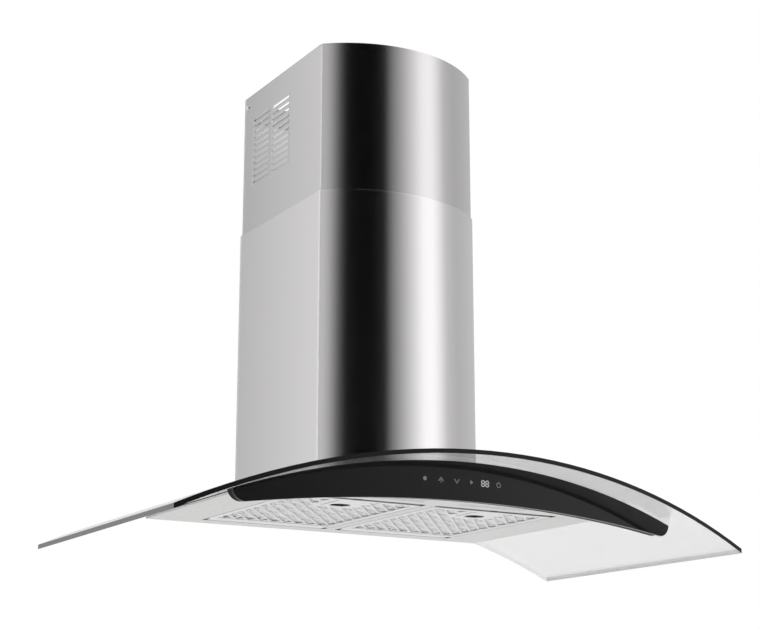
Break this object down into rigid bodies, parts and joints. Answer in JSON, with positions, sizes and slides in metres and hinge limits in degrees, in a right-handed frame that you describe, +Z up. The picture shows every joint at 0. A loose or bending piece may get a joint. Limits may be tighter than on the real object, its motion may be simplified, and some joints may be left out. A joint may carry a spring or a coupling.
{
  "type": "chimney range hood",
  "caption": "Wall mounted chimney range hood with an arched glass canopy, touch panel, swing down grease filters, fan and telescopic cover.",
  "frame": {"origin": "centre of the four wall bolt holes, on the wall plane", "axes": "+X to the right as seen from the kitchen, +Y into the wall, +Z up"},
  "size_m": [0.9, 0.52, 0.7583],
  "materials": {
    "canopy_glass": "clear toughened glass, polished edge",
    "foam": "black closed cell foam",
    "brushed_steel": "brushed stainless steel",
    "panel_glass": "gloss black glass",
    "black_plastic": "black moulded ABS",
    "circuit_board": "green laminate",
    "display": "dark display window",
    "aluminium": "satin aluminium",
    "frosted_lens": "frosted polycarbonate",
    "led_strip": "white board with lamps",
    "galvanised_steel": "galvanised sheet steel",
    "zinc_screw": "zinc plated steel",
    "rubber": "black rubber",
    "grey_plastic": "dark grey polypropylene",
    "motor_paint": "painted motor can",
    "capacitor_case": "pale grey case"
  },
  "bodies": {
    "hood": {"glass_canopy": "canopy_glass", "glass_gasket": "foam", "blower_gasket": "foam", "hood_shell": "brushed_steel", "top_cover": "brushed_steel", "front_panel": "panel_glass", "control_housing": "black_plastic", "panel_screws": "zinc_screw", "touch_board": "circuit_board", "display_module": "display", "left_lamp_bar": "aluminium", "left_lamp_lens": "frosted_lens", "left_led_strip": "led_strip", "right_lamp_bar": "aluminium", "right_lamp_lens": "frosted_lens", "right_led_strip": "led_strip", "filter_rear_rail": "galvanised_steel", "blower_box": "galvanised_steel", "blower_cover": "galvanised_steel", "cover_screws": "zinc_screw", "wall_plate": "galvanised_steel", "chimney_brackets": "galvanised_steel", "chimney_screws": "zinc_screw", "clamp_screws": "zinc_screw", "clamp_nuts": "zinc_screw", "glass_bushings": "rubber", "left_scroll_half": "grey_plastic", "right_scroll_half": "grey_plastic", "motor": "motor_paint", "motor_bracket": "galvanised_steel", "duct_collar": "grey_plastic", "damper_pin": "zinc_screw", "collar_screws": "zinc_screw", "lower_chimney": "brushed_steel", "chimney_glides": "black_plastic", "wall_bracket": "galvanised_steel", "power_box": "black_plastic", "power_box_lid": "black_plastic", "lid_screws": "zinc_screw", "power_board": "circuit_board", "capacitor": "capacitor_case", "cable_gland": "black_plastic", "cable_grommet": "rubber", "panel_cable": "rubber"},
    "upper_cover": {"upper_chimney": "brushed_steel", "bracket_screws": "zinc_screw"},
    "left_filter": {"left_filter_frame": "aluminium", "left_filter_mesh": "aluminium", "left_filter_core": "aluminium"},
    "right_filter": {"right_filter_frame": "aluminium", "right_filter_mesh": "aluminium", "right_filter_core": "aluminium"},
    "left_latch": {"left_filter_latch": "black_plastic"},
    "right_latch": {"right_filter_latch": "black_plastic"},
    "fan": {"impeller": "grey_plastic", "motor_shaft": "zinc_screw", "impeller_nut": "zinc_screw"},
    "front_flap": {"front_damper_flap": "grey_plastic"},
    "rear_flap": {"rear_damper_flap": "grey_plastic"}
  },
  "joints": [
    {"name": "cover_slide", "type": "slide", "parent": "hood", "child": "upper_cover", "axis": [0, 0, -1], "range_m": [0, 0.195]},
    {"name": "left_filter_swing", "type": "hinge", "parent": "hood", "child": "left_filter", "pos_m": [-0.115, -0.066, -0.1705], "axis": [1, 0, 0], "range_deg": [0, 75]},
    {"name": "right_filter_swing", "type": "hinge", "parent": "hood", "child": "right_filter", "pos_m": [0.115, -0.066, -0.1705], "axis": [1, 0, 0], "range_deg": [0, 75]},
    {"name": "left_latch_slide", "type": "slide", "parent": "left_filter", "child": "left_latch", "axis": [0, -1, 0], "range_m": [0, 0.015]},
    {"name": "right_latch_slide", "type": "slide", "parent": "right_filter", "child": "right_latch", "axis": [0, -1, 0], "range_m": [0, 0.015]},
    {"name": "fan_spin", "type": "hinge", "parent": "hood", "child": "fan", "pos_m": [0, -0.15, 0], "axis": [1, 0, 0], "continuous": true},
    {"name": "front_flap_swing", "type": "hinge", "parent": "hood", "child": "front_flap", "pos_m": [0, -0.092, 0.12705], "axis": [-1, 0, 0], "range_deg": [0, 75]},
    {"name": "rear_flap_swing", "type": "hinge", "parent": "hood", "child": "rear_flap", "pos_m": [0, -0.092, 0.12705], "axis": [1, 0, 0], "range_deg": [0, 75]}
  ]
}
